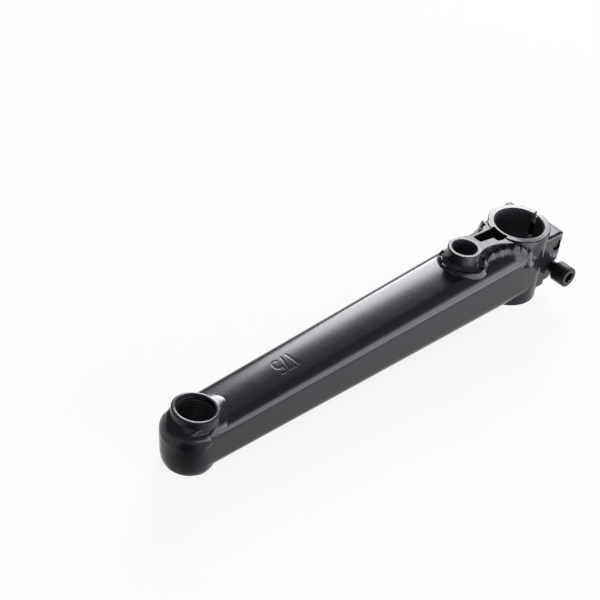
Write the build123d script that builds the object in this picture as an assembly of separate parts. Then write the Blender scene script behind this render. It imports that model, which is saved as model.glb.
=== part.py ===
from build123d import *
import os
from math import sqrt

# Left-hand tubular crank arm. The origin is the middle of the spindle bore, +Z points to the inner
# side, and +X runs from the pedal to the spindle. It lies on its outer side.

# spindle clamp: split ring with two ears
crank_length = 175.0
clamp_bore_d = 19.0
clamp_od = 24.8
clamp_length = 31.0
bore_flare = 0.6
rim_bevel = 0.25
slit_width = 2.2
ear_root = 3.0
ear_reach = 17.0
ear_width = 23.4
ear_below_rim = 3.1
ear_above_rim = 4.1
ear_corner_r = 4.0
ear_edge_r = 1.2
spot_d = 10.4
spot_floor_d = 7.6
spot_depth = 0.6

# sprocket boss and the two webs that tie it to the clamp
sprocket_offset = 33.4
sprocket_thread_d = 9.53
sprocket_boss_od = 13.0
sprocket_rise = 2.5
sprocket_boss_length = 14.0
web_waist_r = 23.0
web_drop = 0.3

# window between the webs: a wide end at the ring, a narrow end at the boss
window_ring_wall = 1.4
window_wide_near = 3.2
window_wide_far = 5.6
window_narrow_near = 0.7
window_narrow_far = 3.1
window_step = 16.6
window_end = 24.8
window_corner_r = 0.7

# arm tube: tapered rounded rectangle, pedal end first
pedal_end_margin = 1.65
pedal_end_below_rim = 3.5
pedal_end_above_rim = 1.5
pedal_end_corner = 4.2
spindle_end_margin = 0.15
spindle_end_below_rim = 2.7
spindle_end_above_rim = 2.0
spindle_end_corner = 6.4
tube_crown = 0.9
tube_wall = 1.8
tube_setback = 2.0

# pedal boss: sleeve with a 9/16 inch thread, drawn as a plain bore at the thread's outer diameter
pedal_thread_d = 14.29
pedal_boss_od = 17.5
pedal_boss_length = 24.0

# weld beads
lug_bead = 2.4
lug_bead_width = 22.6
clamp_bead = 1.3
clamp_bead_width = 16.0
pedal_bead_below_rim = 2.7
pedal_bead_shoulder = 1.15
pedal_bead_shoulder_drop = 0.7
pedal_bead_crest_drop = 3.8
pedal_bead_toe_drop = 14.0
pedal_bead_swell = 1.2
pedal_bead_lip = 0.1
pedal_outer_bead = 0.7
bead_flat = 0.7

# clamp screws, one from each side
screw_d = 5.0
screw_length = 20.0
screw_clearance = 0.4
screw_head_d = 8.2
screw_head_height = 6.5
screw_socket = 4.0
screw_socket_depth = 3.2
screw_reach = 13.2
screw_near_inset = 7.0
screw_far_inset = 6.2
seat_depth = 2.1
seat_edge = 0.6
screw_backed_out = 4.0

clamp_r = clamp_od / 2
boss_r = sprocket_boss_od / 2
clamp_top = clamp_length / 2
clamp_bottom = -clamp_length / 2
sprocket_top = clamp_top + sprocket_rise
pedal_top = clamp_bottom + pedal_boss_length
ear_top = clamp_top - ear_below_rim
ear_bottom = clamp_bottom + ear_above_rim
ear_face = ear_width / 2
seat = ear_face - seat_depth
screw_near_z = ear_bottom + screw_near_inset
screw_far_z = ear_top - screw_far_inset
pedal_end_width = pedal_boss_od + 2 * pedal_end_margin
pedal_end_top = pedal_top - pedal_end_below_rim
pedal_end_bottom = clamp_bottom + pedal_end_above_rim
spindle_end_width = clamp_od + 2 * spindle_end_margin
spindle_end_top = clamp_top - spindle_end_below_rim
spindle_end_bottom = clamp_bottom + spindle_end_above_rim


def turned(radius, z_low, z_high, x=0.0, bevel=0.0):
    # plain turned bar on a vertical axis, both rims bevelled
    bar = Pos(x, 0, (z_low + z_high) / 2) * Cylinder(radius, z_high - z_low)
    if bevel > 0:
        bar = chamfer(bar.edges().filter_by(GeomType.CIRCLE), bevel)
    return bar


def drilled(radius, z_low, z_high, x, flare):
    # hole cutter with a flared mouth at both ends
    top = Pos(x, 0, z_high - flare / 2) * Cone(radius, radius + flare, flare)
    low = Pos(x, 0, z_low + flare / 2) * Cone(radius + flare, radius, flare)
    return turned(radius, z_low, z_high, x) + top + low


def tube_section(x, width, top, bottom, corner, grow):
    # rounded rectangle across the arm, crowned above and below
    side = width / 2 + grow
    high = top + grow
    low = bottom - grow
    lower = ThreePointArc((-side, low + tube_crown), (0, low), (side, low + tube_crown))
    right = Line((side, low + tube_crown), (side, high - tube_crown))
    upper = ThreePointArc((side, high - tube_crown), (0, high), (-side, high - tube_crown))
    left = Line((-side, high - tube_crown), (-side, low + tube_crown))
    face = make_face([lower, right, upper, left])
    face = fillet(face.vertices(), corner + grow)
    return Plane(origin=(x, 0, 0), x_dir=(0, 1, 0), z_dir=(1, 0, 0)) * face


def tube_body(grow):
    # solid arm shape, grown or shrunk all round
    pedal = tube_section(-crank_length, pedal_end_width, pedal_end_top, pedal_end_bottom, pedal_end_corner, grow)
    spindle = tube_section(0, spindle_end_width, spindle_end_top, spindle_end_bottom, spindle_end_corner, grow)
    barrel = loft([pedal, spindle], ruled=True)
    half = split(pedal, Plane.XZ, keep=Keep.BOTTOM)
    nose = revolve(half, Axis((-crank_length, 0, 0), (0, 0, 1)), 180)
    return barrel + nose


def waist_centre():
    # centre of the circle that touches the clamp and the boss from one side
    to_clamp = clamp_r + web_waist_r
    to_boss = boss_r + web_waist_r
    x = -(sprocket_offset**2 + to_clamp**2 - to_boss**2) / (2 * sprocket_offset)
    return x, sqrt(to_clamp**2 - x**2)


def web_outline(grow):
    # hollow-sided plate between clamp and boss
    x, y = waist_centre()
    share_clamp = (clamp_r + grow) / (clamp_r + web_waist_r)
    share_boss = (boss_r + grow) / (boss_r + web_waist_r)
    at_clamp = (x * share_clamp, y * share_clamp)
    at_boss = (-sprocket_offset + (x + sprocket_offset) * share_boss, y * share_boss)
    corners = [at_clamp, at_boss, (at_boss[0], -at_boss[1]), (at_clamp[0], -at_clamp[1])]
    plate = make_face(Polyline(*corners, close=True))
    waist = Circle(web_waist_r - grow)
    return plate - Pos(x, y) * waist - Pos(x, -y) * waist


def lug_block(grow):
    # outline of clamp, webs and boss as one tall block
    block = turned(clamp_r + grow, 0, sprocket_top)
    block += turned(boss_r + grow, 0, sprocket_top, -sprocket_offset)
    return block + extrude(web_outline(grow), sprocket_top)


def window():
    # opening between the webs, ending along the ring
    edge = clamp_r - window_ring_wall
    corners = [
        (-window_end, -window_narrow_near),
        (-window_step, -window_narrow_near),
        (-window_step, -window_wide_near),
        (0, -window_wide_near),
        (0, window_wide_far),
        (-window_end, window_narrow_far),
    ]
    shape = make_face(Polyline(*corners, close=True)) - Circle(edge)
    inner = shape.vertices().filter_by_position(Axis.X, -window_end - 1, -edge / 2)
    shape = fillet(inner, window_corner_r)
    return extrude(shape, sprocket_top + 1)


def ears():
    # two clamp ears as one rounded block, split later by the slit
    height = ear_top - ear_bottom
    middle = (ear_top + ear_bottom) / 2
    plan = fillet(Rectangle(2 * ear_reach, ear_width).vertices(), ear_corner_r)
    side = fillet(Rectangle(2 * ear_reach, height).vertices(), ear_corner_r)
    tall = extrude(plan, height / 2, both=True)
    wide = extrude(Plane.XZ * side, ear_width / 2, both=True)
    end = fillet(Rectangle(ear_width, height).vertices(), ear_edge_r)
    front = Pos(ear_root, 0, 0) * extrude(Plane.YZ * end, ear_reach)
    return Pos(0, 0, middle) * (tall & wide & front)


def across(radius, y_low, y_high, x, z):
    # round bar along Y
    bar = Cylinder(radius, abs(y_high - y_low))
    return Pos(x, (y_low + y_high) / 2, z) * Rot(90, 0, 0) * bar


def screw_holes(side, z):
    # clearance hole in the head's ear, thread in the other ear
    far = side * (ear_face + 1)
    clear = across(screw_d / 2 + screw_clearance / 2, 0, far, screw_reach, z)
    thread = across(screw_d / 2, 0, -far, screw_reach, z)
    return clear + thread


def spot_cut(side, z):
    # shallow dished spot face where a screw's thread comes out
    dish = Cone(spot_floor_d / 2, spot_d / 2, spot_depth)
    return Pos(screw_reach, side * (ear_face - spot_depth / 2), z) * Rot(-90 * side, 0, 0) * dish


def seat_cut(side):
    # flat milled across the half of the ear that takes the head, clear of the ring
    block = Box(ear_reach, ear_width, clamp_length)
    block = Pos(ear_reach, side * (seat + ear_face), side * (clamp_length / 2 + seat_edge)) * block
    return block - turned(clamp_r, clamp_bottom, clamp_top)


def screw(side, z, lift):
    # socket-head screw along Y, head on the given side
    under = seat + lift
    top = under + screw_head_height
    head = Pos(0, 0, (under + top) / 2) * Cylinder(screw_head_d / 2, screw_head_height)
    head = chamfer(head.edges().group_by(Axis.Z)[-1], 0.5)
    shank = Pos(0, 0, under - screw_length / 2) * Cylinder(screw_d / 2, screw_length)
    shank = chamfer(shank.edges().group_by(Axis.Z)[0], 0.6)
    hexagon = RegularPolygon(screw_socket / 2, 6, major_radius=False)
    socket = Pos(0, 0, top - screw_socket_depth) * extrude(hexagon, screw_socket_depth)
    return Pos(screw_reach, 0, z) * Rot(-90 * side, 0, 0) * (head + shank - socket)


def bead(body, limit, joined, rise, spread):
    # fillet weld: what lies near both the tube and the joined piece, outer corner taken off
    core = tube_body(0)
    blank = (tube_body(rise) & body & limit) - core - joined
    crest = [e for e in blank.edges() if core.distance_to(e @ 0.5) > 0.8 * rise]
    crest = [e for e in crest if joined.distance_to(e @ 0.5) > 0.8 * spread]
    return chamfer(crest, bead_flat * min(rise, spread))


def pedal_bead():
    # thick ring of weld that swells past the rounded end of the tube
    wall = pedal_end_width / 2
    inner = pedal_boss_od / 2
    high = (inner, pedal_top - pedal_bead_below_rim)
    shoulder = (inner + pedal_bead_shoulder, pedal_end_top - pedal_bead_shoulder_drop)
    crest = (wall + pedal_bead_swell, pedal_end_top - pedal_bead_crest_drop)
    toe = (wall + pedal_bead_lip, pedal_end_top - pedal_bead_toe_drop)
    root = (inner, pedal_end_top - pedal_bead_toe_drop)
    outline = [
        TangentArc(crest, shoulder, tangent=(0, 1)),
        Line(shoulder, high),
        Line(high, root),
        Line(root, toe),
        Line(toe, crest),
    ]
    ring = Pos(-crank_length, 0, 0) * revolve(Plane.XZ * make_face(outline), Axis.Z)
    return ring - tube_body(0)


# spindle lug
slope = Plane(
    origin=(-clamp_r, 0, clamp_top - web_drop),
    z_dir=(sprocket_rise, 0, sprocket_offset - clamp_r - boss_r),
)
web = extrude(web_outline(0), sprocket_top)
web = split(web, slope, keep=Keep.BOTTOM) - tube_body(0)
clamp = turned(clamp_r, clamp_bottom, clamp_top, bevel=rim_bevel)
boss = turned(boss_r, sprocket_top - sprocket_boss_length, sprocket_top, -sprocket_offset, rim_bevel)
lug = clamp + boss + web + ears()
lug -= drilled(clamp_bore_d / 2, clamp_bottom, clamp_top, 0, bore_flare)
lug -= drilled(
    sprocket_thread_d / 2, sprocket_top - sprocket_boss_length, sprocket_top, -sprocket_offset, rim_bevel
)
lug -= window() - tube_body(0)
lug -= Pos(ear_reach, 0, 0) * Box(2 * ear_reach, slit_width, clamp_length + 2)
for side, z in ((-1, screw_near_z), (1, screw_far_z)):
    lug -= screw_holes(side, z)
    lug -= seat_cut(side)
    lug -= spot_cut(-side, z)

# arm tube, coped to the clamp and drilled for both bosses
pedal_bar = turned(pedal_boss_od / 2, clamp_bottom, pedal_top, -crank_length)
clamp_bar = turned(clamp_r, clamp_bottom, clamp_top)
boss_bar = turned(boss_r, sprocket_top - sprocket_boss_length, sprocket_top, -sprocket_offset)
tube = tube_body(0) - tube_body(-tube_wall) - pedal_bar - clamp_bar - boss_bar
tube -= Pos(clamp_od / 2 - tube_setback, 0, 0) * Box(clamp_od, 3 * clamp_od, 3 * clamp_od)

# pedal boss
pedal_boss = turned(pedal_boss_od / 2, clamp_bottom, pedal_top, -crank_length, rim_bevel)
pedal_boss -= drilled(pedal_thread_d / 2, clamp_bottom, pedal_top, -crank_length, rim_bevel)

# weld beads
span = crank_length + pedal_boss_od
above = Pos(-span / 2 - tube_setback, 0, clamp_length / 2)
below = Pos(-span / 2 - tube_setback, 0, -clamp_length / 2)
lug_limit = above * Box(span, lug_bead_width, clamp_length)
weld_lug_inner = bead(lug_block(lug_bead), lug_limit, lug_block(0) + boss_bar, lug_bead, lug_bead)
clamp_limit = below * Box(span, clamp_bead_width, clamp_length)
clamp_collar = turned(clamp_r + clamp_bead, clamp_bottom, 0)
weld_clamp_outer = bead(clamp_collar, clamp_limit, clamp_bar, clamp_bead, clamp_bead)
pedal_limit = Box(2 * span, spindle_end_width, 2 * clamp_length)
outer_collar = turned(pedal_boss_od / 2 + pedal_outer_bead, clamp_bottom, 0, -crank_length)
weld_pedal_outer = bead(outer_collar, pedal_limit, pedal_bar, pedal_outer_bead, pedal_outer_bead)

pieces = {
    "arm_tube": tube,
    "spindle_lug": lug,
    "pedal_boss": pedal_boss,
    "weld_lug_inner": weld_lug_inner,
    "weld_clamp_outer": weld_clamp_outer,
    "weld_pedal_inner": pedal_bead(),
    "weld_pedal_outer": weld_pedal_outer,
    "clamp_screw_near": screw(-1, screw_near_z, screw_backed_out),
    "clamp_screw_far": screw(1, screw_far_z, 0.0),
}

os.makedirs("parts", exist_ok=True)
for name, shape in pieces.items():
    export_step(shape, f"parts/{name}.step")
    print(name, shape.is_valid, round(shape.volume, 1), len(shape.solids()))
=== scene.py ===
import math

import bpy
import bmesh
from mathutils import Matrix, Vector, noise


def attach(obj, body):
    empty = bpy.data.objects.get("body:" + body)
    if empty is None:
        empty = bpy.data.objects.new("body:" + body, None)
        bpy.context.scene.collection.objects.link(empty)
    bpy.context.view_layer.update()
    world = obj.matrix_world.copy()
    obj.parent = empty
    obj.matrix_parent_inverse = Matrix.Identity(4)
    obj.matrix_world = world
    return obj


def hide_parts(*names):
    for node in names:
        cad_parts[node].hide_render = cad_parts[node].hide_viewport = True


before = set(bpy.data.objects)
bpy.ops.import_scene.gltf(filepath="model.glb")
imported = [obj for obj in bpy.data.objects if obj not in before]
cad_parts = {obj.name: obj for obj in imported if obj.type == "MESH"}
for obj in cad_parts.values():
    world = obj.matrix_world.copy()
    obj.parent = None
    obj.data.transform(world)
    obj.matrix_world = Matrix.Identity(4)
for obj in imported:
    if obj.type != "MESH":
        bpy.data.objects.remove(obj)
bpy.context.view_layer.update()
print("crank arm: solids loaded,", len(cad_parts))

mm = 0.001       # the part's sizes below are in millimetres, its meshes in metres
pedalX = -175.0  # pedal axis, one crank length from the spindle axis at the origin
bossX = -33.4    # sprocket boss axis


def share(value):
    # keeps a value between none and all
    return min(1.0, max(0.0, value))


def hexToLinear(code):
    parts = [int(code[i:i + 2], 16) / 255 for i in (1, 3, 5)]
    return [p / 12.92 if p <= 0.04045 else ((p + 0.055) / 1.055) ** 2.4 for p in parts] + [1.0]


def addNode(tree, kind, values=None, links=None, **settings):
    # a link comes from an output, or from the first output of a node
    node = tree.nodes.new(kind)
    for key, value in settings.items():
        setattr(node, key, value)
    for key, value in (values or {}).items():
        node.inputs[key].default_value = value
    for key, source in (links or {}).items():
        if isinstance(source, bpy.types.Node):
            source = source.outputs[0]
        tree.links.new(source, node.inputs[key])
    return node


def newMaterial(name):
    material = bpy.data.materials.new(name)
    material.use_nodes = True
    material.node_tree.nodes.clear()
    return material, material.node_tree


def mottle(tree, place, size, detail, look):
    # noise with spots of the given size in mm, and the tones that it makes between look's dark and light
    spots = addNode(tree, "ShaderNodeTexNoise", {"Scale": 1000 / size, "Detail": detail}, {"Vector": place})
    tones = addNode(tree, "ShaderNodeValToRGB", links={"Fac": spots})
    for stop, shade in zip(tones.color_ramp.elements, (look["dark"], look["light"])):
        stop.color = hexToLinear(shade)
    return spots, tones


def makePiece(name, points, faces, sharpAngle=None):
    mesh = bpy.data.meshes.new(name)
    mesh.from_pydata([Vector(p) * mm for p in points], [], faces)
    shape = bmesh.new()
    shape.from_mesh(mesh)
    bmesh.ops.remove_doubles(shape, verts=shape.verts, dist=0.002 * mm)
    bmesh.ops.recalc_face_normals(shape, faces=shape.faces)
    shape.to_mesh(mesh)
    shape.free()
    mesh.shade_smooth()
    if sharpAngle:
        mesh.set_sharp_from_angle(angle=math.radians(sharpAngle))
    piece = bpy.data.objects.new(name, mesh)
    bpy.context.scene.collection.objects.link(piece)
    return piece


def gridFaces(rows, columns, closed=False):
    # quads over a grid of points kept row by row; closed joins the last row to the first
    faces = []
    for i in range(rows if closed else rows - 1):
        j = (i + 1) % rows
        for k in range(columns - 1):
            faces.append((i * columns + k, i * columns + k + 1, j * columns + k + 1, j * columns + k))
    return faces


# Tapered tube, bent and seam welded from steel sheet, with a half-round closed nose
arm = {
    "pedalWidth": 20.8, "pedalTop": 5.0, "pedalBottom": -14.0, "pedalCorner": 4.2,
    "lugWidth": 25.1, "lugTop": 12.8, "lugBottom": -13.5, "lugCorner": 6.4,
    "crown": 0.9,                       # rise of the flat faces in the middle
    "drawFrom": -9.0, "drawIn": 0.17,   # the end draws in to the clamp tube's own width
    "copeFrom": -30.0, "copeR": 11.0,   # the cope ends inside the clamp tube's wall
    "pedalHole": 8.0, "bossHole": 5.6,  # openings hidden under the two bosses
    "topSteps": 60, "cornerSteps": 16, "sideSteps": 8, "bottomSteps": 20, "noseSteps": 48,
    "runs": ((-141.0, 1.6), (-121.0, 0.2), (-46.0, 2.2), (0.0, 0.8)),  # end and pitch, finest under the mark
}


def sectionAt(x):
    t = share((x - pedalX) / -pedalX)
    w = (arm["pedalWidth"] + (arm["lugWidth"] - arm["pedalWidth"]) * t) / 2
    if x > arm["drawFrom"]:
        w -= arm["drawIn"] * ((x - arm["drawFrom"]) / arm["drawFrom"]) ** 2
    top = arm["pedalTop"] + (arm["lugTop"] - arm["pedalTop"]) * t
    bottom = arm["pedalBottom"] + (arm["lugBottom"] - arm["pedalBottom"]) * t
    r = arm["pedalCorner"] + (arm["lugCorner"] - arm["pedalCorner"]) * t
    crownR = (w * w + arm["crown"] ** 2) / (2 * arm["crown"])
    rise = math.sqrt((crownR - r) ** 2 - (w - r) ** 2)
    return {"w": w, "r": r, "top": top, "bottom": bottom, "crownR": crownR,
            "topCentre": top - crownR + rise, "bottomCentre": bottom + crownR - rise,
            "lean": math.asin((w - r) / (crownR - r))}


def skinHeight(x, y, side):
    # height of the tube's top (side 1) or bottom (side -1) over a place in plan
    if x < pedalX:
        y, x = math.hypot(x - pedalX, y), pedalX
    s, y = sectionAt(x), abs(y)
    y = min(y, s["w"])
    flatEnd = s["crownR"] * math.sin(s["lean"])
    if y <= flatEnd:
        h = math.sqrt(s["crownR"] ** 2 - y * y) - s["crownR"]
        return s["top"] + h if side > 0 else s["bottom"] - h
    h = math.sqrt(max(0.0, s["r"] ** 2 - (y - s["w"] + s["r"]) ** 2))
    return s["topCentre"] + h if side > 0 else s["bottomCentre"] - h


def profilePoint(x, k):
    # point k of the half section at x: (distance from the middle plane, height)
    s, hole, corner = sectionAt(x), arm["pedalHole"], arm["cornerSteps"]
    out = x - pedalX
    start = math.sqrt(max(0.0, hole ** 2 - out * out)) if out < hole else 0.0
    flatEnd = s["crownR"] * math.sin(s["lean"])
    if k <= arm["topSteps"]:
        y = start + (flatEnd - start) * k / arm["topSteps"] if start < flatEnd else start
        return y, skinHeight(x, y, 1)
    k -= arm["topSteps"]
    first = s["lean"] if start < flatEnd else math.asin((start - s["w"] + s["r"]) / s["r"])
    if k <= corner:
        b = first + (math.pi / 2 - first) * k / corner
        return s["w"] - s["r"] + s["r"] * math.sin(b), s["topCentre"] + s["r"] * math.cos(b)
    k -= corner
    if k <= arm["sideSteps"]:
        return s["w"], s["topCentre"] + (s["bottomCentre"] - s["topCentre"]) * k / arm["sideSteps"]
    k -= arm["sideSteps"]
    if k <= corner:
        b = math.pi / 2 - (math.pi / 2 - first) * k / corner
        return s["w"] - s["r"] + s["r"] * math.sin(b), s["bottomCentre"] - s["r"] * math.cos(b)
    k -= corner
    y = flatEnd + (start - flatEnd) * k / arm["bottomSteps"] if start < flatEnd else start
    return y, skinHeight(x, y, -1)


# Length mark, struck cold into the tube with single-line punches before painting
stamp = {
    "strokes": [
        [(0.1, 5.2), (1.1, 6.5), (1.1, 0.0)],
        [(2.9, 6.5), (6.0, 6.5), (3.9, 0.0)],
        [(9.5, 6.5), (7.1, 6.5), (6.9, 3.7), (7.7, 4.1), (8.6, 4.0), (9.3, 3.4), (9.6, 2.3), (9.4, 1.2),
         (8.8, 0.4), (7.9, 0.05), (6.8, 0.3)],
    ],
    "startX": -124.8, "baseY": 3.2,     # the mark reads towards the pedal end
    "patch": (-2.0, 12.0, -2.0, 8.5),   # the strokes and a little more, the only skin that is tested
    "halfWidth": 0.7, "depth": 0.036,
}


def strokeDistance(u, v):
    best = math.inf
    for stroke in stamp["strokes"]:
        for (ax, ay), (bx, by) in zip(stroke, stroke[1:]):
            dx, dy = bx - ax, by - ay
            t = share(((u - ax) * dx + (v - ay) * dy) / (dx * dx + dy * dy))
            best = min(best, math.hypot(u - ax - t * dx, v - ay - t * dy))
    return best


def stampDrop(x, y):
    u, v = stamp["startX"] - x, stamp["baseY"] - y
    left, right, low, high = stamp["patch"]
    if not (left < u < right and low < v < high):
        return 0.0
    d = strokeDistance(u, v) / stamp["halfWidth"]
    return stamp["depth"] * max(0.0, 1 - d * d)


def copedX(x, y):
    # squeezes the sections near the clamp so that the last one follows the cope
    start = arm["copeFrom"]
    cope = -math.sqrt(max(0.0, arm["copeR"] ** 2 - y * y))
    return start + (x - start) * (cope - start) / -start


# sections close up round the pedal hole, then follow the runs
stations = [pedalX + arm["pedalHole"] * math.sin(math.radians(6 * i)) for i in range(16)]
for last, pitch in arm["runs"]:
    first = stations[-1]
    count = max(1, round((last - first) / pitch))
    stations += [first + (last - first) * (i + 1) / count for i in range(count)]
profileSize = arm["topSteps"] + 2 * arm["cornerSteps"] + arm["sideSteps"] + arm["bottomSteps"] + 1
points = []
for side, row in ((1, stations[::-1]), (-1, stations)):
    for x in row:
        for k in range(profileSize):
            y, z = profilePoint(x, k)
            placeX = x
            if x > arm["copeFrom"]:
                placeX = copedX(x, y)
                y, z = profilePoint(placeX, k)
            if k <= arm["topSteps"]:
                z -= stampDrop(placeX, side * y)
            points.append((placeX, side * y, z))
    if side == 1:
        for i in range(1, arm["noseSteps"]):  # round the nose
            a = math.pi / 2 + math.pi * i / arm["noseSteps"]
            for k in range(profileSize):
                y, z = profilePoint(pedalX, k)
                points.append((pedalX + y * math.cos(a), y * math.sin(a), z))
faces = []
for f in gridFaces(len(points) // profileSize, profileSize):
    c = [sum(points[i][axis] for i in f) / 4 for axis in range(3)]
    if not (c[2] > 0 and math.hypot(c[0] - bossX, c[1]) < arm["bossHole"]):
        faces.append(f)
armSkin = makePiece("armSkin", points, faces)
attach(armSkin, "root")
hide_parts("arm_tube")
print("crank arm: tube and length mark,", len(faces), "faces")


# Hand-laid fillet welds: the filler flares down from the standing piece to a rolled toe, in overlapping pools
filler = {
    "columns": 19, "step": 0.2,             # points across, and mm between rows
    "riseVaries": 0.2, "spreadVaries": 0.15, "rollVaries": 0.4,
    "drift": 1.5,                           # mm, the pools stray along the joint
    "lag": 0.3,                             # a pool froze as a crescent, so its edge lags behind at the sides
    "even": 0.4,                            # share of a pool's height that doesn't ripple
    "stir": 0.9, "stirSize": 0.6,           # unevenness, and its size against a pool
    "flare": 1.7, "rollWidth": 0.22, "toe": 0.15,
    "pebbleSize": 1.6,                      # mm
    "bite": 0.15, "off": 0.1, "sink": 0.06,  # mm into the standing piece, off it, and under the skin
}


def layBead(path, side, look):
    # path: (x, y, outX, outY, rise, spread, crest, roll) along the joint; gives a strip of points on the tube
    points, run, columns = [], 0.0, filler["columns"]
    for i, (x, y, nx, ny, rise, spread, crest, heap) in enumerate(path):
        if i:
            run += math.hypot(x - path[i - 1][0], y - path[i - 1][1])
        slow = noise.noise(Vector((run / look["wander"], look["seed"], 0.3)))
        creep = noise.noise(Vector((run / look["wander"], 7.1, look["seed"])))
        high = look["rise"] * rise * (1 + filler["riseVaries"] * slow)
        wide = look["spread"] * spread * (1 + filler["spreadVaries"] * creep)
        base = skinHeight(x + nx * filler["off"], y + ny * filler["off"], side)
        for k in range(columns):
            t = k / (columns - 1)
            lag = filler["lag"] * look["pool"] * (2 * t - 1) ** 2
            along = (run + filler["drift"] * creep + lag) / look["pool"]
            spot = Vector((run, wide * t, look["seed"]))
            stir = filler["stir"] * noise.noise(spot / (filler["stirSize"] * look["pool"]))
            lump = (1 - filler["even"]) * abs(math.sin(math.pi * along)) + filler["even"] + stir
            roll = look["roll"] * heap * (1 + filler["rollVaries"] * slow) * (1 - look["lump"] * (1 - lump))
            swell = math.exp(-((t - crest) / filler["rollWidth"]) ** 2) * min(1.0, (1 - t) / filler["toe"])
            up = high * (1 - t) ** filler["flare"] + roll * swell
            up += look["pebble"] * rise * noise.noise(spot / filler["pebbleSize"]) * math.sin(math.pi * t)
            out = -filler["bite"] + (wide + filler["bite"]) * t
            px, py = x + nx * out, y + ny * out
            z = skinHeight(px, py, side) * t + base * (1 - t) + side * (up - filler["sink"] * t)
            points.append((px, py, z))
    return points, gridFaces(len(path), columns)


def resample(path, step):
    marks = [0.0]
    for a, b in zip(path, path[1:]):
        marks.append(marks[-1] + math.hypot(b[0] - a[0], b[1] - a[1]))
    count, result, i = max(2, round(marks[-1] / step)), [], 0
    for n in range(count + 1):
        goal = marks[-1] * n / count
        while i < len(marks) - 2 and marks[i + 1] < goal:
            i += 1
        t = (goal - marks[i]) / max(1e-9, marks[i + 1] - marks[i])
        result.append(tuple(p + (q - p) * t for p, q in zip(path[i], path[i + 1])))
    return result


# Forged lug, whose own solid stays: its foot leads the bead
lug = {
    "ringR": 12.4, "bossR": 6.5, "waistR": 23.0,
    "weldFrom": 78.0, "fadeFrom": 76.0, "fade": 14.0,   # degrees round the ring where the bead swells up
    "ringCrest": 0.45, "waistCrest": 0.4, "bossCrest": 0.75,
    "scant": 0.3, "flat": 0.2,                          # less filler went round the back of the boss
}


def lugFoot(steps=60):
    # outline of the lug where it stands on the tube: ring, waist, sprocket boss and back
    d, rr, rb, rw = -bossX, lug["ringR"], lug["bossR"], lug["waistR"]
    wx = (d * d + (rr + rw) ** 2 - (rb + rw) ** 2) / (2 * d)
    wy = math.sqrt((rr + rw) ** 2 - wx * wx)
    ringEnd, bossEnd = math.atan2(wy, wx), math.atan2(wy, d - wx)
    start = math.radians(lug["weldFrom"])
    half = []
    for i in range(steps + 1):
        a = start + (ringEnd - start) * i / steps
        c, s = math.cos(a), math.sin(a)
        fade = share((math.radians(lug["fadeFrom"]) - a) / math.radians(lug["fade"])) ** 0.5
        half.append((-rr * c, -rr * s, -c, -s, fade, fade, lug["ringCrest"], fade))
    for i in range(1, steps + 1):
        a = ringEnd + (math.pi - bossEnd - ringEnd) * i / steps
        c, s = math.cos(a), math.sin(a)
        half.append((-wx + rw * c, -wy + rw * s, -c, -s, 1.0, 1.0, lug["waistCrest"], 1.0))
    for i in range(1, steps + 1):
        a = -bossEnd - (math.pi - bossEnd) * i / steps
        c, s = math.cos(a), math.sin(a)
        tight = 1 - lug["scant"] * i / steps
        half.append((-d + rb * c, rb * s, c, s, 1.0, tight, lug["bossCrest"], tight - lug["flat"]))
    return half + [(x, -y, nx, -ny, *rest) for x, y, nx, ny, *rest in half[-2::-1]]


lugBead = {"rise": 2.5, "spread": 3.8, "roll": 1.6, "lump": 0.9, "pool": 4.2, "pebble": 0.38,
           "wander": 7.0, "seed": 3.7}
lugWeld = makePiece("lugWeld", *layBead(resample(lugFoot(), filler["step"]), 1, lugBead))
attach(lugWeld, "root")
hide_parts("weld_lug_inner")

clampBead = {"rise": 1.2, "spread": 1.6, "roll": 0.35, "lump": 0.7, "pool": 4.0, "pebble": 0.08,
             "wander": 6.0, "seed": 9.2, "crest": 0.45, "step": 0.22,
             "half": 42.0, "fade": 6.0}   # degrees each way round the clamp tube
pathSteps = 120
path = []
for i in range(pathSteps + 1):
    a = math.radians(-clampBead["half"] + 2 * clampBead["half"] * i / pathSteps)
    c, s = math.cos(a), math.sin(a)
    fade = share((clampBead["half"] - abs(math.degrees(a))) / clampBead["fade"]) ** 0.5
    path.append((-lug["ringR"] * c, lug["ringR"] * s, -c, s, fade, fade, clampBead["crest"], fade))
clampWeld = makePiece("clampWeld", *layBead(resample(path, clampBead["step"]), -1, clampBead))
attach(clampWeld, "root")
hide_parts("weld_clamp_outer")


def turnProfile(profile, cx, around, lumps=0.0, lumpSize=1.0, kept=None, drawIn=None):
    # turns (radius, height) points about the upright line through cx; lumps push the skin in and out
    points, flatter = [], 1.4  # the lumps are wider than high
    for i in range(around):
        a = 2 * math.pi * i / around
        for r, z in profile:
            if drawIn:
                r = drawIn(r, z, a)
            if lumps:
                bump = noise.noise(Vector((r * math.cos(a), r * math.sin(a), flatter * z)) / lumpSize)
                r += lumps * bump * (kept(z) if kept else 1.0)
            points.append((cx + r * math.cos(a), r * math.sin(a), z))
    return points, gridFaces(around, len(profile), closed=True)


# Pedal boss: turned steel sleeve with well rounded rims, welded into the nose above and below
sleeve = {"outer": 8.75, "inner": 7.145, "top": 8.5, "bottom": -15.5, "edge": 0.22, "crown": 0.07,
          "rimSteps": 40, "around": 240}
nose = {
    "meet": -9.2,                     # height where the upper and the lower bead meet
    "under": 0.05, "inside": 8.6,     # the drawn-in sides lie just under the tube's skin or in the sleeve
    "square": 0.45, "swell": 1.2,     # a fuller swell gives a squarer plan
    "proud": 3.0,                     # mm below the meeting line to where the lower bead is round again
}


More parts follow.
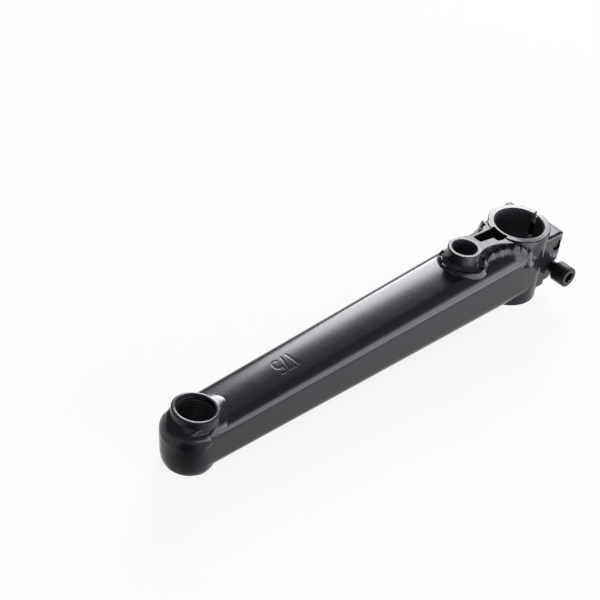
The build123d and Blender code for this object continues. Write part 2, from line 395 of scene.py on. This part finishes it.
def drawnNose(r, z, a):
    # the filler is full at the nose and dressed flush with the tube's own skin at its two sides
    s = sectionAt(pedalX)
    past = max(0.0, z - s["topCentre"], s["bottomCentre"] - z)
    wall = s["w"] - s["r"] + math.sqrt(max(0.0, s["r"] ** 2 - past * past)) - nose["under"]
    wall = max(nose["inside"], min(r, wall))
    wall += (r - wall) * share((nose["meet"] - z) / nose["proud"])
    n = 2 + nose["square"] * share((r - wall) / nose["swell"])
    return (abs(math.cos(a) / r) ** n + abs(math.sin(a) / wall) ** n) ** (-1 / n)


outerBead = {
    "profile": [(8.7, -15.45), (9.2, -14.6), (9.63, -13.6), (9.95, -12.6), (10.22, -11.4), (10.42, -10.2),
                (10.56, -9.2)],
    "step": 0.3, "around": 240, "lumps": 0.12, "lumpSize": 4.0, "fade": 2.0,
}


def outerKept(z):
    # the lumps fade out towards the upper bead
    return share((nose["meet"] - z) / outerBead["fade"])


outerWeld = makePiece("pedalOuterWeld", *turnProfile(
    resample(outerBead["profile"], outerBead["step"]), pedalX, outerBead["around"],
    outerBead["lumps"], outerBead["lumpSize"], outerKept, drawnNose))
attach(outerWeld, "root")
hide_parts("weld_pedal_outer")

# The upper bead swells out past the tube's nose, and an apron of filler runs back along the tube's top
pedalBead = {
    "profile": [(8.7, 5.9), (9.2, 5.4), (9.9, 4.5), (10.7, 3.4), (11.3, 2.1), (11.55, 0.9), (11.55, -0.6),
                (11.42, -2.4), (11.18, -4.4), (10.92, -6.4), (10.69, -8.2), (10.56, -9.2)],
    "step": 0.3, "around": 320, "lumps": 0.35, "lumpSize": 4.5,
    "smooth": 6.0, "top": 5.9, "topFade": 1.2,   # heights in mm between which the lumps stand
}
apron = {"rise": 1.4, "spread": 6.4, "roll": 0.22, "lump": 0.4, "pool": 6.0, "pebble": 0.0,
         "wander": 7.0, "seed": 5.2,
         "half": 96.0, "fade": 20.0, "crest": 0.62,       # degrees each way round the boss
         "lobeAt": 2.0, "lobeWidth": 19.0, "least": 0.5,  # most filler ran out right behind the boss
         "edgeY": 10.2}                                   # mm, it stops short of the tube's side


def shoulder(z):
    # lumps of filler stay round the shoulder, and are dressed smooth towards the toe
    low = share((z + pedalBead["smooth"]) / pedalBead["smooth"])
    return low * share((pedalBead["top"] - z) / pedalBead["topFade"])


points, faces = turnProfile(resample(pedalBead["profile"], pedalBead["step"]), pedalX, pedalBead["around"],
                            pedalBead["lumps"], pedalBead["lumpSize"], shoulder, drawnNose)
path = []
for i in range(pathSteps + 1):
    a = math.radians(-apron["half"] + 2 * apron["half"] * i / pathSteps)
    c, s, r = math.cos(a), math.sin(a), sleeve["outer"]
    fade = share((apron["half"] - abs(math.degrees(a))) / apron["fade"]) ** 0.5
    lobe = math.exp(-((math.degrees(a) - apron["lobeAt"]) / apron["lobeWidth"]) ** 2)
    room = (apron["edgeY"] - r * abs(s)) / max(0.05, abs(s)) / apron["spread"]  # 0.05 keeps it finite
    room = min(apron["least"] + (1 - apron["least"]) * lobe, room)
    path.append((pedalX + r * c, r * s, c, s, fade, room, apron["crest"], fade * room))
more, moreFaces = layBead(resample(path, filler["step"]), 1, apron)
faces += [tuple(i + len(points) for i in f) for f in moreFaces]
pedalWeld = makePiece("pedalWeld", points + more, faces)
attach(pedalWeld, "root")
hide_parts("weld_pedal_inner")
print("crank arm: four weld beads")

# the sleeve itself: up the bore, over the top rim, down the outside and round the bottom rim
profile = [(sleeve["inner"], 0.0)]
for sign, level in ((1, sleeve["top"]), (-1, sleeve["bottom"])):
    rim = []
    for i in range(sleeve["rimSteps"] + 1):
        # a flattened half round across the wall
        across = -math.cos(math.pi * i / sleeve["rimSteps"])
        r = (sleeve["inner"] + sleeve["outer"]) / 2 + (sleeve["outer"] - sleeve["inner"]) / 2 * across
        drop = sleeve["crown"] * across ** 2 + sleeve["edge"] * (1 - math.sqrt(max(0.0, 1 - across ** 8)))
        rim.append((r, level - sign * drop))
    profile += rim if sign > 0 else rim[::-1]
profile.append((sleeve["inner"], 0.0))
pedalSleeve = makePiece("pedalSleeve", *turnProfile(profile, pedalX, sleeve["around"]))
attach(pedalSleeve, "root")
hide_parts("pedal_boss")
print("crank arm: pedal sleeve")


# Cut threads: a V ridge wound up the wall of a hole
ridge = {
    "steps": 40, "runOut": 0.4,      # points a turn, and turns to full height at each end
    "root": 0.03,                    # mm inside the wall
    "flank": 0.44, "land": 0.06,     # half widths of foot and crest, in pitches
}


def windThread(name, cx, low, high, wallR, crestR, pitch, hand):
    steps = ridge["steps"]
    total, runOut = int((high - low) / pitch * steps), steps * ridge["runOut"]
    points = []
    for i in range(total + 1):
        a = hand * 2 * math.pi * i / steps
        z = low + pitch * i / steps
        grow = min(1.0, i / runOut, (total - i) / runOut)
        root, crest = wallR + ridge["root"], wallR - (wallR - crestR) * grow
        for r, dz in ((root, -ridge["flank"]), (crest, -ridge["land"]),
                      (crest, ridge["land"]), (root, ridge["flank"])):
            points.append((cx + r * math.cos(a), r * math.sin(a), z + dz * pitch))
    return makePiece(name, points, gridFaces(total + 1, 4), sharpAngle=25)


pedalThread = {"low": -14.2, "high": 7.4, "wallR": 7.145, "crestR": 6.5, "pitch": 1.27}  # 20 turns an inch
bossThread = {"low": 5.0, "high": 17.0, "wallR": 4.765, "crestR": 4.22, "pitch": 1.058}  # 24 turns an inch
threads = [windThread("pedalThread", pedalX, hand=-1, **pedalThread),
           windThread("sprocketThread", bossX, hand=1, **bossThread)]
for piece in threads:
    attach(piece, "root")
print("crank arm: threads")

# Socket-head clamp screws, forged heads and rolled threads
screw = {
    "d": 5.0, "length": 20.0, "headD": 8.2, "headHeight": 6.5, "edge": 0.5,
    "hex": 4.0, "hexDepth": 3.2, "drillR": 1.7, "drillCone": 0.9, "mouthR": 2.55, "mouth": 0.35,
    "seatIn": 0.2, "fillet": 0.25, "lead": 0.5, "tipR": 1.6, "axisR": 0.02,
    "pitch": 0.8, "threadDepth": 0.42, "runIn": 6,   # rings to the thread's full depth
    "around": 48, "ringPitch": 0.1,
}


def makeScrew(name, place, way):
    # rings from the socket's floor over the head down to the tip; way is the head's side along Y
    around, points = screw["around"], []

    def ring(radius, along, wobble=0.0, hexMix=0.0):
        for i in range(around):
            a = 2 * math.pi * i / around
            flat = screw["hex"] / 2 / math.cos((a + math.pi / 6) % (math.pi / 3) - math.pi / 6)
            r = radius * (1 - hexMix) + flat * hexMix
            if wobble:
                turn = along / screw["pitch"] - way * a / (2 * math.pi)
                r -= wobble * (0.5 + 0.5 * math.cos(2 * math.pi * turn))
            points.append((place[0] + r * math.cos(a), place[1] + way * along, place[2] + r * math.sin(a)))

    headR, neckR, top = screw["headD"] / 2, screw["d"] / 2, screw["headHeight"]
    socket = top - screw["hexDepth"]
    ring(screw["axisR"], socket - screw["drillCone"])
    ring(screw["drillR"], socket)
    ring(0, socket, hexMix=1.0)
    ring(0, top - screw["mouth"], hexMix=1.0)
    ring(screw["mouthR"], top)
    for i in range(7):
        a = math.pi / 2 * i / 6
        ring(headR - screw["edge"] * (1 - math.sin(a)), top - screw["edge"] * (1 - math.cos(a)))
    ring(headR, top * 0.5)
    ring(headR, screw["fillet"])
    ring(headR - screw["seatIn"], 0.0)
    ring(neckR + screw["fillet"], 0.0)
    ring(neckR, -screw["fillet"])
    threaded = screw["length"] - 2 * screw["lead"]
    count = int(threaded / screw["ringPitch"])
    for i in range(count + 1):
        depth = screw["threadDepth"] * min(1.0, i / screw["runIn"])
        ring(neckR, -screw["lead"] - threaded * i / count, wobble=depth)
    ring(screw["tipR"], -screw["length"])
    ring(screw["axisR"], -screw["length"])
    faces = []
    for i in range(len(points) // around - 1):
        for k in range(around):
            j = (k + 1) % around
            faces.append((i * around + k, i * around + j, (i + 1) * around + j, (i + 1) * around + k))
    return makePiece(name, points, faces, sharpAngle=35)


screwNear = makeScrew("screwNear", (13.2, -13.6, -4.4), -1)
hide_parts("clamp_screw_near")
screwFar = makeScrew("screwFar", (13.2, 9.6, 6.2), 1)
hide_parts("clamp_screw_far")
for piece in (screwNear, screwFar):
    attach(piece, "root")
print("crank arm: clamp screws")


# Gloss black powder coat: sprayed dry on blasted steel and baked, so it flows out to a thick,
# glassy skin with softened edges and a faint orange peel
enamel = {
    "dark": "#141418", "light": "#1a1a1f", "dry": "#303035",
    "ior": 1.36,                              # about 1.5 for such paint, brought down to the object's sheen
    "cast": "#f3f1ff",                        # its gloss is a little violet
    "roughness": (0.15, 0.2), "dryMatt": 0.3,
    "cloud": 18.0, "smear": 7.0,              # mm, width of the patches in tone and in gloss
    "peel": 2.4, "peelDepth": 0.004,          # mm, orange peel
    "edge": 0.0,                              # mm, softened edges, for the faceted lug only
    "bores": (), "faced": None,
}
# the clamp's end and ears were faced by hand, so they fall away outwards by a few degrees,
# and paint fills the small step where the webs run into the ring
clampFace = {
    "from": -11.5, "full": -7.5, "fall": 2.5, "bore": 10.1,
    "stepR": 12.35, "stepHalf": 0.35, "stepX": -9.0, "stepZ": 15.12, "stepLift": 20.0,
}


def leanFaces(tree, axes, facing, cut):
    # tips the normal outwards over the clamp, and straight up along the step
    flat = addNode(tree, "ShaderNodeCombineXYZ", links={"X": axes["X"], "Y": axes["Y"]})
    radius = addNode(tree, "ShaderNodeVectorMath", links={0: flat}, operation="LENGTH").outputs["Value"]
    outward = addNode(tree, "ShaderNodeVectorMath", links={0: flat}, operation="NORMALIZE")
    lean = addNode(tree, "ShaderNodeMapRange",
                   {"From Min": cut["from"] * mm, "From Max": cut["full"] * mm,
                    "To Max": math.tan(math.radians(cut["fall"]))}, {"Value": axes["X"]})
    beyond = addNode(tree, "ShaderNodeMath", {1: cut["bore"] * mm}, {0: radius}, operation="GREATER_THAN")
    lean = addNode(tree, "ShaderNodeMath", links={0: lean, 1: beyond}, operation="MULTIPLY")
    lean = addNode(tree, "ShaderNodeVectorMath", links={0: outward, "Scale": lean}, operation="SCALE")
    facing = addNode(tree, "ShaderNodeVectorMath", links={0: facing, 1: lean}, operation="ADD")
    near = addNode(tree, "ShaderNodeMath", {1: cut["stepR"] * mm, 2: cut["stepHalf"] * mm}, {0: radius},
                   operation="COMPARE")
    high = addNode(tree, "ShaderNodeMath", {1: cut["stepZ"] * mm}, {0: axes["Z"]}, operation="GREATER_THAN")
    back = addNode(tree, "ShaderNodeMath", {1: cut["stepX"] * mm}, {0: axes["X"]}, operation="LESS_THAN")
    fill = addNode(tree, "ShaderNodeMath", links={0: near, 1: high}, operation="MULTIPLY")
    fill = addNode(tree, "ShaderNodeMath", links={0: fill, 1: back}, operation="MULTIPLY")
    fill = addNode(tree, "ShaderNodeMath", {1: cut["stepLift"]}, {0: fill}, operation="MULTIPLY")
    fill = addNode(tree, "ShaderNodeCombineXYZ", links={"Z": fill})
    facing = addNode(tree, "ShaderNodeVectorMath", links={0: facing, 1: fill}, operation="ADD")
    return addNode(tree, "ShaderNodeVectorMath", links={0: facing}, operation="NORMALIZE")


def makeEnamel(name, **changes):
    look = dict(enamel, **changes)
    material, tree = newMaterial(name)
    place = addNode(tree, "ShaderNodeTexCoord").outputs["Object"]
    axes = addNode(tree, "ShaderNodeSeparateXYZ", links={"Vector": place}).outputs
    tone = mottle(tree, place, look["cloud"], 3.0, look)[1]
    smear = addNode(tree, "ShaderNodeTexNoise", {"Scale": 1000 / look["smear"], "Detail": 4.0},
                    {"Vector": place})
    gloss = addNode(tree, "ShaderNodeMapRange",
                    {"To Min": look["roughness"][0], "To Max": look["roughness"][1]}, {"Value": smear})
    for cx, r in look["bores"]:  # spray hardly reaches into the bores, so it dries grey and matt there
        dx = addNode(tree, "ShaderNodeMath", {1: cx * mm}, {0: axes["X"]}, operation="SUBTRACT")
        dx2 = addNode(tree, "ShaderNodeMath", {1: 2.0}, {0: dx}, operation="POWER")
        y2 = addNode(tree, "ShaderNodeMath", links={0: axes["Y"], 1: axes["Y"]}, operation="MULTIPLY")
        away = addNode(tree, "ShaderNodeMath", links={0: dx2, 1: y2}, operation="ADD")
        inside = addNode(tree, "ShaderNodeMath", {1: (r * mm) ** 2}, {0: away}, operation="LESS_THAN")
        tone = addNode(tree, "ShaderNodeMixRGB", {"Color2": hexToLinear(look["dry"])},
                       {"Fac": inside, "Color1": tone})
        gloss = addNode(tree, "ShaderNodeMath", {1: look["dryMatt"]}, {0: inside, 2: gloss},
                        operation="MULTIPLY_ADD")
    facing = addNode(tree, "ShaderNodeNewGeometry").outputs["Normal"]
    if look["edge"]:
        facing = addNode(tree, "ShaderNodeBevel", {"Radius": look["edge"] * mm}, samples=8)
    if look["faced"]:
        facing = leanFaces(tree, axes, facing, look["faced"])
    peel = addNode(tree, "ShaderNodeTexNoise", {"Scale": 1000 / look["peel"], "Detail": 1.0},
                   {"Vector": place})
    bump = addNode(tree, "ShaderNodeBump", {"Distance": look["peelDepth"] * mm},
                   {"Height": peel, "Normal": facing})
    paint = addNode(tree, "ShaderNodeBsdfPrincipled",
                    {"IOR": look["ior"], "Specular Tint": hexToLinear(look["cast"])},
                    {"Base Color": tone, "Roughness": gloss, "Normal": bump})
    addNode(tree, "ShaderNodeOutputMaterial", links={"Surface": paint})
    return material


blackPaint = makeEnamel("blackEnamel")
lugPaint = makeEnamel("edgeEnamel", edge=0.25, bores=((0.0, 9.9), (bossX, 5.3)), faced=clampFace)
threadPaint = makeEnamel("threadEnamel", roughness=(0.4, 0.5))  # thin and dry in the grooves
weldPaint = makeEnamel("weldEnamel", roughness=(0.15, 0.22), peel=1.4, peelDepth=0.02)  # over rippled filler

# Black-oxide alloy steel: dipped and oiled, a thin dark skin with patches from the oil
oxide = {"dark": "#0b0b0c", "light": "#1c1c1d", "patch": 3.0, "roughness": (0.3, 0.42), "metallic": 0.55}
blackOxide, tree = newMaterial("blackOxide")
place = addNode(tree, "ShaderNodeTexCoord").outputs["Object"]
patches, tone = mottle(tree, place, oxide["patch"], 5.0, oxide)
gloss = addNode(tree, "ShaderNodeMapRange",
                {"To Min": oxide["roughness"][0], "To Max": oxide["roughness"][1]}, {"Value": patches})
steel = addNode(tree, "ShaderNodeBsdfPrincipled", {"Metallic": oxide["metallic"]},
                {"Base Color": tone, "Roughness": gloss})
addNode(tree, "ShaderNodeOutputMaterial", links={"Surface": steel})

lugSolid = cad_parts["spindle_lug"]
for material, targets in ((blackPaint, [armSkin, pedalSleeve]), (lugPaint, [lugSolid]),
                          (threadPaint, threads),
                          (weldPaint, [lugWeld, clampWeld, outerWeld, pedalWeld]),
                          (blackOxide, [screwNear, screwFar])):
    for target in targets:
        if not target.material_slots:
            target.data.materials.append(material)
        for slot in target.material_slots:
            slot.material = material
print("crank arm: paint and black oxide")


def layFlat(name, x, y, half, z):
    corners = ((-1, -1), (1, -1), (1, 1), (-1, 1))
    return makePiece(name, [(x + sx * half, y + sy * half, z) for sx, sy in corners], [(0, 1, 2, 3)])


# White matt paper over the table: pressed fibres, so no sheen, and lit up to white where it is seen
floor = {"half": 5000.0, "z": -15.5, "glow": 0.88, "dark": "#efefef", "light": "#f6f6f6", "mottleSize": 1.5}
table = layFlat("table", 0.0, 0.0, floor["half"], floor["z"])
whitePaper, tree = newMaterial("whitePaper")
place = addNode(tree, "ShaderNodeTexCoord").outputs["Object"]
tone = mottle(tree, place, floor["mottleSize"], 2.0, floor)[1]
matte = addNode(tree, "ShaderNodeBsdfDiffuse", links={"Color": tone})
glow = addNode(tree, "ShaderNodeEmission", {"Strength": 1.0})
rays = addNode(tree, "ShaderNodeLightPath").outputs
seen = addNode(tree, "ShaderNodeMath", links={0: rays["Is Camera Ray"], 1: rays["Is Glossy Ray"]},
               operation="MAXIMUM")
seen = addNode(tree, "ShaderNodeMath", links={0: seen, 1: rays["Is Transmission Ray"]}, operation="MAXIMUM")
bright = addNode(tree, "ShaderNodeMixShader", {"Fac": floor["glow"]}, {1: matte, 2: glow})
mix = addNode(tree, "ShaderNodeMixShader", links={"Fac": seen, 1: matte, 2: bright})
addNode(tree, "ShaderNodeOutputMaterial", links={"Surface": mix})
table.data.materials.append(whitePaper)

# Painted shade: a dark sheet laid on the table before the nose, out of the camera's sight and casting no
# shadow, stands in for the shade on the table there, so that the nose mirrors something dark
paintedShade = {"at": (-199.5, -20.5), "lift": 0.3, "half": 34.0, "full": 7.0,
        "dark": "#060606", "light": "#101010", "mottleSize": 2.0}
paintedShadeZ = floor["z"] + paintedShade["lift"]
card = layFlat("paintedShadeCard", *paintedShade["at"], paintedShade["half"], paintedShadeZ)
card.visible_camera = card.visible_diffuse = card.visible_shadow = card.visible_transmission = False
# painted shade: the sheet's dark tones, full near its middle and mixed out to clear towards its edges
paintedShadeSheet, tree = newMaterial("paintedShadeSheet")
place = addNode(tree, "ShaderNodeTexCoord").outputs["Object"]
tone = mottle(tree, place, paintedShade["mottleSize"], 2.0, paintedShade)[1]
shadeDiffuse = addNode(tree, "ShaderNodeBsdfDiffuse", links={"Color": tone})
away = addNode(tree, "ShaderNodeVectorMath", {1: Vector((*paintedShade["at"], paintedShadeZ)) * mm}, {0: place},
               operation="DISTANCE").outputs["Value"]
thin = addNode(tree, "ShaderNodeMapRange", {"From Min": paintedShade["full"] * mm, "From Max": paintedShade["half"] * mm},
               {"Value": away}, interpolation_type="SMOOTHSTEP")
clear = addNode(tree, "ShaderNodeBsdfTransparent")
mix = addNode(tree, "ShaderNodeMixShader", links={"Fac": thin, 1: shadeDiffuse, 2: clear})
addNode(tree, "ShaderNodeOutputMaterial", links={"Surface": mix})
card.data.materials.append(paintedShadeSheet)

# Camera fitted to the two axes and the known hole sizes; place in metres
view = {"place": (-0.729671, -0.45722, 0.601372), "right": (0.685665, -0.711489, 0.153775),
        "up": (0.352227, 0.509168, 0.785293), "lens": 160.9, "sensor": 36.0, "near": 0.01, "far": 50.0}
camera = bpy.data.objects.new("camera", bpy.data.cameras.new("camera"))
camera.data.lens = view["lens"]
camera.data.sensor_width = view["sensor"]
camera.data.clip_start = view["near"]
camera.data.clip_end = view["far"]
right, up = Vector(view["right"]), Vector(view["up"])
turn = Matrix((right, up, right.cross(up))).transposed().to_4x4()
camera.matrix_world = Matrix.Translation(Vector(view["place"])) @ turn
bpy.context.scene.collection.objects.link(camera)
bpy.context.scene.camera = camera

# Softboxes: azimuth from +X towards +Y, elevation and roll in degrees, distance and size in metres;
# glow is the brightness of the face
lamps = {
    "backBox": {"azimuth": 39, "elevation": 24, "distance": 1.4, "size": (0.5, 0.7), "glow": 16.5, "roll": 12},
    "sideBox": {"azimuth": -67, "elevation": 6, "distance": 0.9, "size": (1.6, 0.24), "glow": 3.9},
    "sideFill": {"azimuth": -72, "elevation": 11, "distance": 0.92, "size": (2.1, 0.48), "glow": 2.0},
    "lowCard": {"at": (0.12, -0.18), "lift": 0.5, "size": (0.5, 0.26), "glow": 4.2},  # face up on the table
    "endBox": {"azimuth": 23.5, "elevation": 15, "distance": 1.4, "size": (0.2, 0.32), "glow": 7.0},
    "frontBox": {"azimuth": 200, "elevation": 55, "distance": 1.6, "size": (1.0, 1.0), "glow": 0.6},
}
aim = Vector((-0.08, 0, 0))  # near the middle of the arm
for name, lamp in lamps.items():
    light = bpy.data.lights.new(name, "AREA")
    light.shape = "RECTANGLE"
    light.size, light.size_y = lamp["size"]
    light.energy = lamp["glow"] * math.pi * light.size * light.size_y
    box = bpy.data.objects.new(name, light)
    if "at" in lamp:
        box.location = (*lamp["at"], (floor["z"] + lamp["lift"]) * mm)
        box.rotation_euler = (math.pi, 0, 0)
    else:
        az, el = math.radians(lamp["azimuth"]), math.radians(lamp["elevation"])
        way = Vector((math.cos(az) * math.cos(el), math.sin(az) * math.cos(el), math.sin(el)))
        box.location = aim + way * lamp["distance"]
        turn = Matrix.Rotation(math.radians(lamp.get("roll", 0)), 4, "Z")
        box.rotation_euler = (way.to_track_quat("Z", "Y").to_matrix().to_4x4() @ turn).to_euler()
    box.visible_camera = False
    bpy.context.scene.collection.objects.link(box)

studio = {"sky": "#f4f5f8", "strength": 0.35}
world = bpy.data.worlds.new("studio")
world.use_nodes = True
sky = world.node_tree.nodes["Background"].inputs
sky["Color"].default_value = hexToLinear(studio["sky"])
sky["Strength"].default_value = studio["strength"]
bpy.context.scene.world = world
bpy.context.scene.view_settings.view_transform = "Standard"
print("crank arm: table, camera and lamps")
